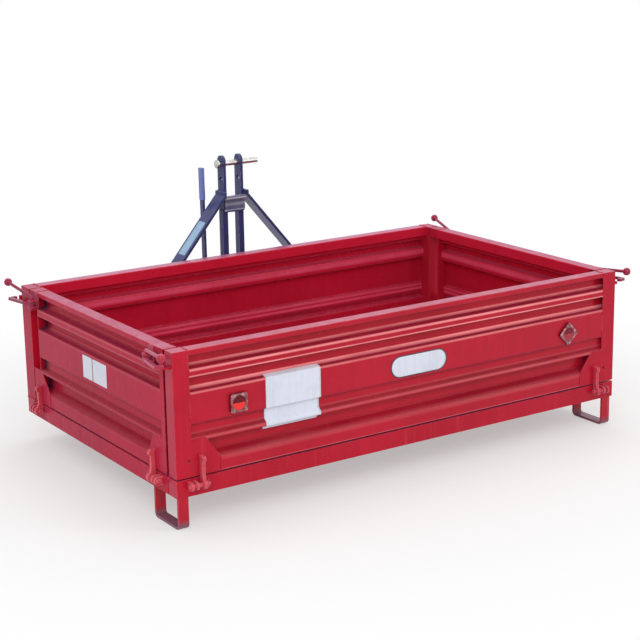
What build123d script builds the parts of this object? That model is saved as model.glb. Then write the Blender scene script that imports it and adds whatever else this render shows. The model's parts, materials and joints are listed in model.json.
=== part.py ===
from build123d import *
import math
import os

# Tipping transport box for a tractor's three-point hitch.
#
# A drop-sided steel box with pressed, grooved panels tips to the rear on a shaft carried by a
# hitch frame: two under-frame rails, two link uprights that stand on the ground when it is
# parked, a mast with two ears for the top link, and a hand lever that frees the box.
#
# Frame: +X to the right seen from behind, +Y towards the tractor, +Z up, millimetres.
# The origin is on the ground, under the middle of the whole object. Inside this file Y is
# measured from the tailgate's outer face, and save() moves every solid to the origin.

# ---- the box, overall ----
BOX_W = 1600.0          # over the side panels
BOX_L = 980.0           # tailgate's outer face to front panel's outer face
PANEL_H = 358.0         # height of every panel
PANEL_D = 42.0          # depth of a panel, groove floor to outer face and its rail
LEG_H = 95.0            # ground to underside of the box frame
RAIL = 50.0             # square section of the box frame
WALL = 3.0              # wall of tubes, plates and floor
SHEET = 2.5             # pressed sheet of the panels
SEAM = 5.0              # gap between the frame's top and a panel's lower edge
BEND_R = SHEET + 0.5    # outside radius of the press bends

# ---- the pressed grooves ----
GROOVE_D = 24.0
THIRD_D = 12.0          # depth of the shallow third groove
RAIL_FACE = 15.0        # height of the top rail's outer face
LIP = 32.0              # the top rail's inner lip
FOOT = 38.0             # flange under the panel
# (lower lip, upper lip, rise of the lower wall, fall of the upper wall, depth), from the top edge
UPPER_GROOVES = [(-54.0, -RAIL_FACE, 9.0, 4.0, GROOVE_D), (-119.0, -77.0, 8.0, 4.0, GROOVE_D)]
# the same, up from the lower edge
LOWER_GROOVES = [(107.0, 150.0, 11.0, 5.0, THIRD_D), (41.0, 98.0, 17.0, 6.0, GROOVE_D)]

# ---- ends of the panels ----
STILE_W = 50.0          # flat stile at each end of the tailgate
STILE_HOLE_R = 5.0      # drain hole in the stile, from the box's side and the panel's lower edge
STILE_HOLE_IN = 40.0
STILE_HOLE_UP = 45.0
GUSSET_TOP = 106.0      # height of the corner gusset's top above the panel's lower edge
GUSSET_LOW = 43.0       # height where its slope ends
GUSSET_IN = 95.0        # width of the tailgate's gusset at its top
GUSSET_OUT = 140.0      # width where its slope ends
SIDE_GUSSET_TOP = 51.0  # the side panel's near gusset, at its top and where its slope ends
SIDE_GUSSET_LOW = 85.0
SIDE_GUSSET_IN = 6.0    # its far gusset, measured back from the end of the sheet
SIDE_GUSSET_OUT = 60.0
SIDE_START = 72.0       # near end of a side panel
SIDE_FLANGE = 17.0      # its end plate's flange runs on this far past it
SIDE_CAP = 23.0         # and the cap on its top rail this far
SIDE_GAP = 6.0          # far end of a side panel to the front post
SPAN_GAP = 52.0         # stretch of rail and gusset past the far end of the side's sheet
POST_X = 40.0           # front corner post
POST_Y = 60.0
REAR_POST = 20.0
REAR_POST_IN = 40.0     # its outer side from the side of the box
REAR_POST_GAP = 5.0     # between the post and the tailgate
REAR_POST_DROP = 14.0   # post top below the panel's top

# ---- bottom hinges ----
HINGE_R = 6.0           # pin
HINGE_PLAY = 0.05
HINGE_OUT = 14.0        # pin's axis outside the panel's face
HINGE_DROP = 18.0       # pin's axis below the frame's top
EYE_R = 13.0
STRAP_T = 10.0
STRAP_OUT = 14.0        # how far the strap's shank stands out from the panel
STRAP_HEAD = 10.0       # radius of the forged head at its top
STRAP_TOP = 58.0        # strap's top above the panel's lower edge
LUG_T = 8.0
LUG_R = 12.0
LUG_GAP = 15.0          # strap to the nearer lug
LUG_STEP = 16.0         # one lug to the next
PIN_END = 12.0          # pin past the strap
PIN_TAIL = 4.0          # pin past the farther lug
TAIL_HINGE_IN = 78.0    # strap's middle from the side of the box
SIDE_HINGE_NEAR = 51.0  # strap's middle from the near end of the side panel
SIDE_HINGE_FAR = 2.0    # strap's middle past the far end of the sheet

# ---- corner latches ----
LATCH_OUT = 16.0        # pivot's axis outside the panel's face
LATCH_IN = 115.0        # pivot from the box's corner, along the side
LATCH_DROP = 34.0       # middle of the hook plate below the panel's top
LATCH_PIN_R = 6.0
LATCH_BAR_R = 5.0
LATCH_ARM = 128.0       # pivot to ball
BALL_R = 12.5
LATCH_OPEN = 10.0       # degrees from engaged to where the lever stands
HOOK_PLAY = 3.0         # hook to keeper stud, engaged
HOOK_W = 10.0
HOOK_LIP = 2.5          # return of the hook's tip behind the stud
HOOK_LIP_T = 4.0
STUD_R = 5.0
STUD_IN = 20.0          # keeper stud from the box's corner
STUD_OUT = 13.0         # and outside the panel's face
STUD_UP = 8.0           # stud's end above the middle of the hook plate
KEEPER_R = 12.0         # keeper tab
KEEPER_T = 6.0
KEEPER_DROP = 2.0       # tab's top below the hook plate
HOOK_T = 8.0
HOOK_BOSS = 11.0        # boss of the hook plate
HOOK_TAPER = 24.0       # from the pivot to where the hook plate reaches its full width
EAR_T = 6.0
EAR_R = 12.0            # ears of the latch's bracket
EAR_PLAY = 3.0          # ear to hook plate
BRACKET_DROP = 3.0      # bracket's back plate below the panel's top
BAR_RISE = 20.0         # hand bar above the hook plate
BALL_RISE = 9.0         # ball above the hand bar's root, on the rear latches
BALL_RISE_FRONT = 28.0  # and on the front ones

# ---- rear legs ----
LEG_BAR_W = 32.0
LEG_BAR_T = 8.0
LEG_LEN = 140.0
LEG_SET = 5.0           # in from the box's side and rear
LEG_R = 16.0

# ---- tipping pivot and under-frame ----
PIVOT_Y = 300.0
PIVOT_DROP = 25.3       # shaft's axis below the box frame
SHAFT_R = 15.0
SHAFT_PLAY = 0.05
UNDER_RAIL = 50.0
SEAT_GAP = 0.3          # box frame above the under-frame rails
BOSS_R = 25.0           # round end of the under-frame rail, about the shaft
MEMBER_W = 60.0         # cross members under the floor
MEMBER_STEP = 315.0     # second cross member, and the hitch frame's under it, in front of the shaft
PIVOT_PLATE = 12.0
PIVOT_CLEAR = 5.0
PIVOT_R = 28.0
PIVOT_TOP = 80.0        # width of the pivot plate where it is welded to the box
PIVOT_LOW = 45.0
COLLAR_R = 23.0
COLLAR_T = 8.0
COLLAR_GAP = 3.0        # collar to the pivot plate
HITCH_WALL = 4.0        # wall of the hitch frame's square tubes

# ---- three-point hitch, category 1 ----
LINK_SPREAD = 683.0     # between the lower link shoulders
LINK_PIN_R = 11.0
LINK_PIN_L = 90.0       # from the upright's face
LINK_STUD_R = 10.0      # its stud through the upright and the brace
LINK_COLLAR_R = 19.0
LINK_COLLAR_T = 8.0
LINK_NUT_R = 15.0       # half the nut's width over its flats
LINK_NUT_T = 14.0
LINK_Z = 348.0          # lower link pins above the ground
MAST_RISE = 460.0       # top link pin above the lower link pins
TOP_PIN_R = 9.5
TOP_PLAY = 0.25
TOP_PIN_LEFT = 48.0
TOP_PIN_RIGHT = 104.0
UPRIGHT_T = 15.0
UPRIGHT_L = 70.0
UPRIGHT_TOP = 52.0      # above the link pin
FRONT_CLEAR = 12.0      # hitch frame in front of the box
FOOT_T = 8.0
FOOT_OUT = 24.0
MAST_AHEAD = 50.0       # mast's middle in front of the box
EAR_GAP = 56.0
EAR_PLATE = 10.0
EAR_L = 40.0
EAR_TOP = 28.0
SECOND_HOLE = 54.0      # spare top-link hole below the pin
EAR_LEN = 186.0         # length of an ear
CROSSBAR = 50.0
CROSSBAR_Z = 40.0       # its underside
POST_LAP = 7.0          # mast post inboard of the ear's inner face
MAST_POST_X = 20.0
MAST_POST_Y = 25.0
CROSS_PLATE_H = 44.0
CROSS_PLATE_T = 8.0     # and its flange's, flush with the braces' tops
BRACE_W = 60.0
BRACE_FRONT = 22.0      # brace's front edge ahead of the mast's middle
BRACE_T = 10.0
BRACE_TAB = 16.0        # tab welded to the ear, above the bend
BRACE_BEND = 108.0      # bend below the pin's axis
BRACE_FOOT_UP = 22.0    # lower bend above the link pin
BRACE_FOOT = 28.0       # brace's end below the link pin
BRACE_R = 14.0
PIN_HEAD_R = 14.0
PIN_HEAD_T = 6.0
LINCH_R = 5.5           # hole for the linch pin
LINCH_IN = 14.0         # from the link pin's end

# ---- release lever ----
LEVER_X = -88.0
LEVER_T = 8.0
LEVER_W = 20.0
LEVER_PIVOT_Y = 85.0    # in front of the box
LEVER_PIVOT_Z = 200.0
LEVER_TOP = 791.0
LEVER_LEAN = 8.0        # the lever's top leans this far forward
LEVER_PIN_R = 8.0
LEVER_BOSS_R = 14.0     # spacer between the bracket and the lever
LEVER_PLAY = 2.0
BRACKET_R = 20.0
GRIP_L = 105.0
GRIP_T = 2.6
CATCH_R = 8.0
CATCH_BACK = 30.0       # catch bar behind the lever's pivot
CATCH_DROP = 62.0       # and below it
CATCH_TAB = 8.0         # thickness of its tabs
CATCH_W = 64.0          # over the tabs
CATCH_BOSS = 12.0
CLAW_PLAY = 3.0
CLAW_T = 16.0
CLAW_FRONT = -75.0      # the claw's two ends, degrees about the pivot, engaged
CLAW_TIP = -130.0
HOOK_OPEN = 25.0        # degrees from engaged to where the lever stands

# ---- small pieces on the tailgate ----
REFLECTOR_X = 601.0
REFLECTOR_Z = 336.0
REFLECTOR = 54.0
REFLECTOR_T = 9.0
LENS_R = 21.0

FRAME_TOP = LEG_H + RAIL
PANEL_Z = FRAME_TOP + SEAM
TOP_Z = PANEL_Z + PANEL_H
HALF = BOX_W / 2
PIN_Z = LINK_Z + MAST_RISE
MAST_Y = BOX_L + MAST_AHEAD
HITCH_Y = BOX_L + FRONT_CLEAR
HINGE_Z = FRAME_TOP - HINGE_DROP
SHAFT_Z = LEG_H - PIVOT_DROP
UNDER_X = LINK_SPREAD / 2
LATCH_Z = TOP_Z - LATCH_DROP
SIDE_FAR = BOX_L - POST_Y - SIDE_GAP    # far end of a side panel
SIDE_END = BOX_L - POST_Y - SPAN_GAP    # far end of its pressed sheet
SIDE_TURN = Rot(0, 0, 90)               # the tailgate's frame turned onto the right-hand side

# the rear latches' balls or the tailgate's hinges set the rear of the object
ANGLE = math.radians(LATCH_OPEN)
BALL_REACH = LATCH_ARM * math.cos(ANGLE) + BALL_R - LATCH_IN
REAR_REACH = max(BALL_REACH, HINGE_OUT + EYE_R)
# and the claw or the grip of the release lever sets its front
CLAW_R = math.hypot(CATCH_BACK, CATCH_DROP) - CATCH_R - CLAW_PLAY
CLAW_REACH = CLAW_R * math.cos(math.radians(CLAW_FRONT + HOOK_OPEN))
LEVER_REACH = max(CLAW_REACH, LEVER_LEAN + LEVER_W / 2 + GRIP_T, BRACKET_R)
Y_MID = (BOX_L + LEVER_PIVOT_Y + LEVER_REACH - REAR_REACH) / 2


def block(x0, x1, y0, y1, z0, z1):
    """A plain block between two corners."""
    return Pos((x0 + x1) / 2, (y0 + y1) / 2, (z0 + z1) / 2) * Box(x1 - x0, y1 - y0, z1 - z0)


def tube(x0, x1, y0, y1, z0, z1, along, wall=WALL):
    """A rectangular tube, open at both ends along the named axis."""
    inner = [x0 + wall, x1 - wall, y0 + wall, y1 - wall, z0 + wall, z1 - wall]
    first = {"X": 0, "Y": 2, "Z": 4}[along]
    outer = [x0, x1, y0, y1, z0, z1]
    inner[first], inner[first + 1] = outer[first] - 1, outer[first + 1] + 1
    return block(*outer) - block(*inner)


def rod(start, end, radius):
    """A round bar between two points."""
    a, b = Vector(*tuple(start)), Vector(*tuple(end))
    way = b - a
    return extrude(Plane(origin=a, z_dir=way) * Circle(radius), way.length)


def plate_yz(face, x0, x1):
    """A face with its outline in Y and Z made into a plate from x0 to x1."""
    plate = extrude(Plane.YZ * face, x1 - x0)
    return Pos(x0 - plate.bounding_box().min.X, 0, 0) * plate


def mirrored(shape):
    """The same piece on the other side of the object."""
    return mirror(shape, about=Plane.YZ)


def both(shape):
    """A piece and its mirror image."""
    return [shape, mirrored(shape)]


def save(name, shapes):
    """Move the solids to the object's own origin and write one STEP file."""
    solids = [solid for shape in shapes for solid in shape.solids()]
    moved = [Pos(0, -Y_MID, 0) * solid for solid in solids]
    export_step(Compound(children=moved), f"parts/{name}.step")


# ---- pressed panels ----

def panel_outline():
    """The panel's outer face in section: depth inwards and height, from the lip down."""
    points = [(PANEL_D, TOP_Z - LIP), (PANEL_D, TOP_Z), (0, TOP_Z)]
    for edge, grooves in ((TOP_Z, UPPER_GROOVES), (PANEL_Z, LOWER_GROOVES)):
        for low, high, rise, fall, depth in grooves:
            points += [(0, edge + high), (depth, edge + high - fall)]
            points += [(depth, edge + low + rise), (0, edge + low)]
    return points + [(0, PANEL_Z), (FOOT, PANEL_Z)]


def pressed_sheet(length):
    """Folded sheet with its grooves, along X from 0, outer face on y = 0."""
    line = Wire(FilletPolyline(*panel_outline(), radius=BEND_R).edges())
    skin = Face(line.offset_2d(SHEET, kind=Kind.ARC, side=Side.LEFT, closed=True))
    return plate_yz(skin, 0, length)


def gusset_plate(end, inner, outer):
    """Corner gusset on the panel's face, from its end towards the panel's middle."""
    outline = [(end, PANEL_Z), (outer, PANEL_Z), (outer, PANEL_Z + GUSSET_LOW),
               (inner, PANEL_Z + GUSSET_TOP), (end, PANEL_Z + GUSSET_TOP)]
    return extrude(Plane.XZ * make_face(Polyline(*outline, close=True)), -WALL)


def keeper(corner_y, way):
    """Keeper for a latch, on the right-hand side: a tab with its face on x = HALF, and a stud on it."""
    x, y = HALF + STUD_OUT, corner_y + way * STUD_IN
    top = LATCH_Z - HOOK_T / 2 - KEEPER_DROP
    tab = block(HALF, x, y - KEEPER_R, y + KEEPER_R, top - KEEPER_T, top)
    tab += rod((x, y, top - KEEPER_T), (x, y, top), KEEPER_R)
    return [tab, rod((x, y, top), (x, y, LATCH_Z + STUD_UP), STUD_R)]


def strap(x, top):
    """Hinge strap: an upright plate with an eye round the pin, on the tailgate's face."""
    axis = Pos(-HINGE_OUT, HINGE_Z)
    web = make_face(Polyline((-HINGE_OUT - EYE_R / 2, HINGE_Z), (0, HINGE_Z), (0, top),
                             (-STRAP_HEAD, top - 2), (-STRAP_OUT, top - 2 * STRAP_HEAD),
                             (-STRAP_OUT, HINGE_Z + 2 * EYE_R), close=True))
    web += Pos(-STRAP_HEAD, top - STRAP_HEAD) * Circle(STRAP_HEAD)
    # the strap stands clear of the frame below the panel
    clear = make_face(Polyline((EYE_R - HINGE_OUT, HINGE_Z - 2 * EYE_R), (RAIL, HINGE_Z - 2 * EYE_R),
                               (RAIL, PANEL_Z), (EYE_R - HINGE_OUT, PANEL_Z), close=True))
    face = web + axis * Circle(EYE_R) - clear - axis * Circle(HINGE_R + HINGE_PLAY)
    return plate_yz(face, x - STRAP_T / 2, x + STRAP_T / 2)


def hinge_lug(x, way):
    """Two lugs on the frame and the pin welded in them, reaching through the strap."""
    near = x - way * (STRAP_T / 2 + PIN_END)
    last = x + way * (STRAP_T / 2 + LUG_GAP + LUG_STEP + LUG_T)
    hinge = rod((near, -HINGE_OUT, HINGE_Z), (last + way * PIN_TAIL, -HINGE_OUT, HINGE_Z), HINGE_R)
    for outer in (last - way * LUG_STEP, last):
        x0, x1 = sorted((outer - way * LUG_T, outer))
        hinge += block(x0, x1, -HINGE_OUT, 0, HINGE_Z - LUG_R, HINGE_Z + LUG_R)
        hinge += rod((x0, -HINGE_OUT, HINGE_Z), (x1, -HINGE_OUT, HINGE_Z), LUG_R)
    return hinge


def tailgate():
    """Tailgate: pressed sheet, stiles with gussets and keepers, straps, reflectors."""
    start = HALF - STILE_W
    sheet = Pos(WALL - HALF, 0, 0) * pressed_sheet(BOX_W - 2 * WALL)
    # the grooves run on behind the stiles, which lie over them
    over = block(start, HALF, -WALL, WALL, 0, TOP_Z) + block(start, HALF, 0, RAIL, TOP_Z - WALL, TOP_Z)
    for piece in both(over):
        sheet -= piece
    gusset = gusset_plate(HALF, HALF - GUSSET_IN, HALF - GUSSET_OUT)
    for piece in both(gusset):
        sheet -= piece
    stile = block(start, HALF, 0, WALL, PANEL_Z, TOP_Z)
    stile += block(HALF - WALL, HALF, 0, PANEL_D, PANEL_Z, TOP_Z)
    stile += block(start, HALF, 0, PANEL_D, TOP_Z - WALL, TOP_Z)
    hole = Vector(HALF - STILE_HOLE_IN, -WALL, PANEL_Z + STILE_HOLE_UP)
    gusset -= rod(hole, hole + Vector(0, 3 * WALL, 0), STILE_HOLE_R)
    stile -= rod(hole, hole + Vector(0, 3 * WALL, 0), STILE_HOLE_R)
    save("tailgate_sheet", [sheet])
    save("tailgate_stiles", [side for piece in [stile + gusset, *keeper(0, 1)] for side in both(piece)])
    save("tailgate_hinge_straps", both(strap(HALF - TAIL_HINGE_IN, PANEL_Z + STRAP_TOP)))
    bezels, lenses = [], []
    for side, turn in ((-1, 0), (1, 45)):
        place = Pos(side * REFLECTOR_X, 0, REFLECTOR_Z) * Rot(0, turn, 0)
        body = place * Pos(0, -REFLECTOR_T / 2, 0) * Box(REFLECTOR, REFLECTOR_T, REFLECTOR)
        body = fillet(body.edges().filter_by(Axis.Y), 6)
        hole = place * Pos(0, -REFLECTOR_T / 2 - 3, 0) * Rot(90, 0, 0) * Cylinder(LENS_R, REFLECTOR_T)
        bezels.append(body - hole)
        lens = place * Pos(0, -REFLECTOR_T + 1, 0) * Rot(90, 0, 0) * Cylinder(LENS_R - 0.4, 4)
        lenses.append(lens)
    save("reflector_bezels", bezels)
    save("reflector_lenses", lenses)


def side_panels():
    """Both side panels, modelled on the right and mirrored."""
    sheet = Pos(SIDE_START + WALL, 0, 0) * pressed_sheet(SIDE_END - SIDE_START - 2 * WALL)
    near = gusset_plate(SIDE_START, SIDE_START + SIDE_GUSSET_TOP, SIDE_START + SIDE_GUSSET_LOW)
    far = gusset_plate(SIDE_FAR, SIDE_END - SIDE_GUSSET_IN, SIDE_END - SIDE_GUSSET_OUT)
    sheet = sheet - near - far
    near_end = block(SIDE_START, SIDE_START + WALL, 0, PANEL_D, PANEL_Z, TOP_Z) + near
    # a flange and a cap carry the outer face and the top rail on past the rear post
    near_end += block(SIDE_START - SIDE_FLANGE, SIDE_START + WALL, 0, WALL, PANEL_Z, TOP_Z)
    near_end += block(SIDE_START - SIDE_CAP, SIDE_START + WALL, 0, PANEL_D, TOP_Z - WALL, TOP_Z)
    far_end = block(SIDE_END - WALL, SIDE_END, 0, PANEL_D, PANEL_Z, TOP_Z) + far
    far_end += tube(SIDE_END - WALL, SIDE_FAR, 0, PANEL_D, TOP_Z - LIP, TOP_Z, "X")
    straps = [strap(SIDE_START + SIDE_HINGE_NEAR, PANEL_Z + STRAP_TOP),
              strap(SIDE_END + SIDE_HINGE_FAR, PANEL_Z + STRAP_TOP)]
    brackets = [latch_bracket(LATCH_IN), latch_bracket(BOX_L - LATCH_IN)]
    place = Pos(HALF, 0, 0) * SIDE_TURN
    groups = (("sheet", [sheet]), ("ends", [near_end, far_end]), ("hinge_straps", straps),
              ("latch_brackets", brackets))
    for name, shapes in groups:
        right = [place * shape for shape in shapes]
        save(f"side_right_{name}", right)
        save(f"side_left_{name}", [mirrored(shape) for shape in right])


def latch_bracket(at):
    """Two ears on a back plate, in the tailgate's frame, for a latch lever's pivot."""
    low = LATCH_Z - HOOK_T / 2 - EAR_PLAY - EAR_T
    high = LATCH_Z + HOOK_T / 2 + EAR_PLAY + EAR_T
    # the back plate reaches up from the groove to the panel's top rail
    ears = block(at - EAR_R - 2, at + EAR_R + 2, -WALL, 0, low - 1, TOP_Z - BRACKET_DROP)
    for z in (low, high - EAR_T):
        ears += block(at - EAR_R, at + EAR_R, -LATCH_OUT, 0, z, z + EAR_T)
        ears += Pos(at, -LATCH_OUT, z + EAR_T / 2) * Cylinder(EAR_R, EAR_T)
    bore = Pos(at, -LATCH_OUT, LATCH_Z) * Cylinder(LATCH_PIN_R + HINGE_PLAY, 3 * (high - low))
    return ears - bore


def latch_lever(rise):
    """One latch lever, engaged, its pivot at the origin: +X outboard, +Y towards the corner."""
    stud_x, stud_y = STUD_OUT - LATCH_OUT, LATCH_IN - STUD_IN
    inner = stud_x + STUD_R + HOOK_PLAY
    outer = inner + HOOK_W
    near = stud_y + STUD_R + HOOK_PLAY + 1
    far = near + HOOK_W
    tip = stud_x - STUD_R - HOOK_PLAY / 2
    # the plate widens from its boss, so that it clears the bracket when it is thrown open
    outline = Polyline((HOOK_BOSS - 2, -HOOK_BOSS / 2), (outer, HOOK_TAPER), (outer, near + HOOK_W / 2),
                       (outer - HOOK_W / 2, far), (tip - HOOK_LIP_T / 2, far), (tip - HOOK_LIP_T, near),
                       (tip - HOOK_LIP_T, near - HOOK_LIP), (tip, near - HOOK_LIP), (tip, near),
                       (inner, near), (inner, HOOK_BOSS), (2 - HOOK_BOSS, HOOK_BOSS / 2), close=True)
    plate = extrude(Pos(0, 0, LATCH_Z - HOOK_T / 2) * make_face(outline), HOOK_T)
    plate += Pos(0, 0, LATCH_Z) * Cylinder(HOOK_BOSS, HOOK_T)
    bar_z = LATCH_Z + BAR_RISE
    pin = rod((0, 0, LATCH_Z - BAR_RISE), (0, 0, bar_z), LATCH_PIN_R)
    ball = (0, LATCH_ARM, bar_z + rise)
    bar = rod((0, 0, bar_z), ball, LATCH_BAR_R) + Pos(0, 0, bar_z) * Sphere(LATCH_BAR_R)
    return plate + pin + bar + Pos(*ball) * Sphere(BALL_R)


def latches():
    """Four levers, each standing a little open."""
    turn = Rot(0, 0, -LATCH_OPEN)
    front = Pos(HALF + LATCH_OUT, BOX_L - LATCH_IN, 0) * turn * latch_lever(BALL_RISE_FRONT)
    rear = Pos(HALF + LATCH_OUT, LATCH_IN, 0) * mirror(turn * latch_lever(BALL_RISE), about=Plane.XZ)
    for name, shape in (("front", front), ("rear", rear)):
        save(f"latch_{name}_right", [shape])
        save(f"latch_{name}_left", [mirrored(shape)])


def bed():
    """The tipping box's frame, floor, front panel, posts and legs."""
    inner = HALF - RAIL
    save("bed_rail_rear", [capped_rail(0)])
    save("bed_rail_front", [capped_rail(BOX_L - RAIL)])
    save("bed_rails_side", both(tube(inner, HALF, RAIL, BOX_L - RAIL, LEG_H, FRAME_TOP, "Y")))
    save("bed_floor", [block(-inner, inner, RAIL, BOX_L - RAIL, FRAME_TOP - WALL, FRAME_TOP)])
    members = []
    for y in (PIVOT_Y, PIVOT_Y + MEMBER_STEP):
        members.append(tube(-inner, inner, y - MEMBER_W / 2, y + MEMBER_W / 2, LEG_H, FRAME_TOP - WALL, "X"))
    save("bed_cross_members", members)
    front = Rot(0, 0, 180) * pressed_sheet(2 * (HALF - POST_X))
    save("front_panel", [Pos(HALF - POST_X, BOX_L, 0) * front])
    post = tube(HALF - POST_X, HALF, BOX_L - POST_Y, BOX_L, FRAME_TOP, TOP_Z, "Z")
    post += block(HALF - POST_X, HALF, BOX_L - POST_Y, BOX_L, TOP_Z - WALL, TOP_Z)
    save("front_posts", [side for piece in [post, *keeper(BOX_L, -1)] for side in both(piece)])
    y0 = PANEL_D + REAR_POST_GAP
    x1 = HALF - REAR_POST_IN + REAR_POST
    post = tube(x1 - REAR_POST, x1, y0, y0 + REAR_POST, FRAME_TOP, TOP_Z - REAR_POST_DROP, "Z")
    save("rear_posts", both(post))
    save("rear_legs", both(rear_leg()))
    save("pivot_lugs", both(pivot_lug()))
    save("catch_bar", [catch_bar()])
    hinges = [hinge_lug(HALF - TAIL_HINGE_IN, 1)]
    place = Pos(HALF, 0, 0) * SIDE_TURN
    hinges.append(place * hinge_lug(SIDE_START + SIDE_HINGE_NEAR, -1))
    hinges.append(place * hinge_lug(SIDE_END + SIDE_HINGE_FAR, 1))
    save("bed_hinge_lugs", [shape for hinge in hinges for shape in both(hinge)])


def capped_rail(y):
    """Rear or front rail of the box frame, with plates welded over its ends."""
    rail = tube(-HALF, HALF, y, y + RAIL, LEG_H, FRAME_TOP, "X")
    for x in (-HALF, HALF - WALL):
        rail += block(x, x + WALL, y, y + RAIL, LEG_H, FRAME_TOP)
    return rail


def rear_leg():
    """U-shaped leg of bent flat bar under a rear corner."""
    y0, y1 = LEG_SET, LEG_SET + LEG_LEN
    path = FilletPolyline((y0, LEG_H), (y0, 0), (y1, 0), (y1, LEG_H), radius=LEG_R)
    bar = Face(Wire(path.edges()).offset_2d(LEG_BAR_T, kind=Kind.ARC, side=Side.LEFT, closed=True))
    return plate_yz(bar, HALF - LEG_SET - LEG_BAR_W, HALF - LEG_SET)


def pivot_lug():
    """Plate under the box with the bore for the tipping shaft."""
    x0 = UNDER_X + UNDER_RAIL / 2 + PIVOT_CLEAR
    axis = Pos(PIVOT_Y, SHAFT_Z)
    face = make_face(Polyline((PIVOT_Y - PIVOT_TOP / 2, LEG_H), (PIVOT_Y + PIVOT_TOP / 2, LEG_H),
                              (PIVOT_Y + PIVOT_LOW / 2, SHAFT_Z - PIVOT_R / 2),
                              (PIVOT_Y - PIVOT_LOW / 2, SHAFT_Z - PIVOT_R / 2), close=True))
    face += (axis * Circle(PIVOT_R)) & (Pos(PIVOT_Y, LEG_H - PIVOT_R) * Rectangle(2 * PIVOT_R, 2 * PIVOT_R))
    return plate_yz(face - axis * Circle(SHAFT_R + SHAFT_PLAY), x0, x0 + PIVOT_PLATE)


def catch_bar():
    """Round bar on two tabs, which the release lever's claw holds down."""
    y = BOX_L + LEVER_PIVOT_Y - CATCH_BACK
    z = LEVER_PIVOT_Z - CATCH_DROP
    half = CATCH_W / 2
    bar = rod((LEVER_X - half, y, z), (LEVER_X + half, y, z), CATCH_R)
    for x in (LEVER_X - half, LEVER_X + half - CATCH_TAB):
        bar += block(x, x + CATCH_TAB, BOX_L, y, LEG_H + 2 * BEND_R, z + CATCH_BOSS)
        bar += rod((x, y, z), (x + CATCH_TAB, y, z), CATCH_BOSS)
    return bar


def hitch():
    """Hitch frame: rails, shaft, uprights, crossbar, mast, braces and pins."""
    top = LEG_H - SEAT_GAP
    inner, outer = UNDER_X - UNDER_RAIL / 2, UNDER_X + UNDER_RAIL / 2
    rail = tube(inner, outer, PIVOT_Y, HITCH_Y, top - UNDER_RAIL, top, "Y", HITCH_WALL)
    # a boss closes the rail's end, so that the box's cross member rolls round it
    rail += rod((inner, PIVOT_Y, SHAFT_Z), (outer, PIVOT_Y, SHAFT_Z), BOSS_R)
    rail -= rod((0, PIVOT_Y, SHAFT_Z), (HALF, PIVOT_Y, SHAFT_Z), SHAFT_R + SHAFT_PLAY)
    save("underframe_rails", both(rail))
    half = outer + PIVOT_CLEAR + PIVOT_PLATE + COLLAR_GAP
    shaft = rod((-half, PIVOT_Y, SHAFT_Z), (half, PIVOT_Y, SHAFT_Z), SHAFT_R)
    for x in (-half - COLLAR_T, half):
        shaft += rod((x, PIVOT_Y, SHAFT_Z), (x + COLLAR_T, PIVOT_Y, SHAFT_Z), COLLAR_R)
    save("tipping_shaft", [shaft])
    y0 = PIVOT_Y + MEMBER_STEP - UNDER_RAIL / 2
    save("underframe_cross_member", [tube(-inner, inner, y0, y0 + UNDER_RAIL, top - UNDER_RAIL, top, "X")])
    face = UNDER_X - UPRIGHT_T
    shoulder = LINK_Z + UPRIGHT_TOP / 2
    far = HITCH_Y + UPRIGHT_L
    outline = make_face(Polyline((HITCH_Y, FOOT_T), (far, FOOT_T), (far, shoulder),
                                 (HITCH_Y + UPRIGHT_L * 0.75, LINK_Z + UPRIGHT_TOP),
                                 (HITCH_Y + UPRIGHT_L * 0.25, LINK_Z + UPRIGHT_TOP),
                                 (HITCH_Y, shoulder), close=True))
    post = plate_yz(outline - Pos(MAST_Y, LINK_Z) * Circle(LINK_STUD_R), face, UNDER_X)
    foot = block(face - FOOT_OUT, UNDER_X + FOOT_OUT, HITCH_Y, far + FOOT_OUT / 2, 0, FOOT_T)
    save("link_uprights", both(post + foot))
    pin = rod((UNDER_X, MAST_Y, LINK_Z), (UNDER_X + LINK_PIN_L, MAST_Y, LINK_Z), LINK_PIN_R)
    pin = chamfer(pin.edges().sort_by(Axis.X)[-1], 2)
    hole_x = UNDER_X + LINK_PIN_L - LINCH_IN
    pin -= rod((hole_x, MAST_Y - 2 * LINK_PIN_R, LINK_Z), (hole_x, MAST_Y + 2 * LINK_PIN_R, LINK_Z), LINCH_R)
    pin += rod((UNDER_X, MAST_Y, LINK_Z), (UNDER_X + LINK_COLLAR_T, MAST_Y, LINK_Z), LINK_COLLAR_R)
    nut_x = face - BRACE_T
    pin += rod((nut_x - LINK_NUT_T - 4, MAST_Y, LINK_Z), (UNDER_X, MAST_Y, LINK_Z), LINK_STUD_R)
    nut = RegularPolygon(LINK_NUT_R, 6, major_radius=False)
    pin += Pos(0, MAST_Y, LINK_Z) * plate_yz(nut, nut_x - LINK_NUT_T, nut_x)
    save("lower_link_pins", both(pin))
    save("headstock_crossbar", [tube(-face, face, MAST_Y - CROSSBAR / 2, MAST_Y + CROSSBAR / 2,
                                     CROSSBAR_Z, CROSSBAR_Z + CROSSBAR, "X", HITCH_WALL)])
    mast()


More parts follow.
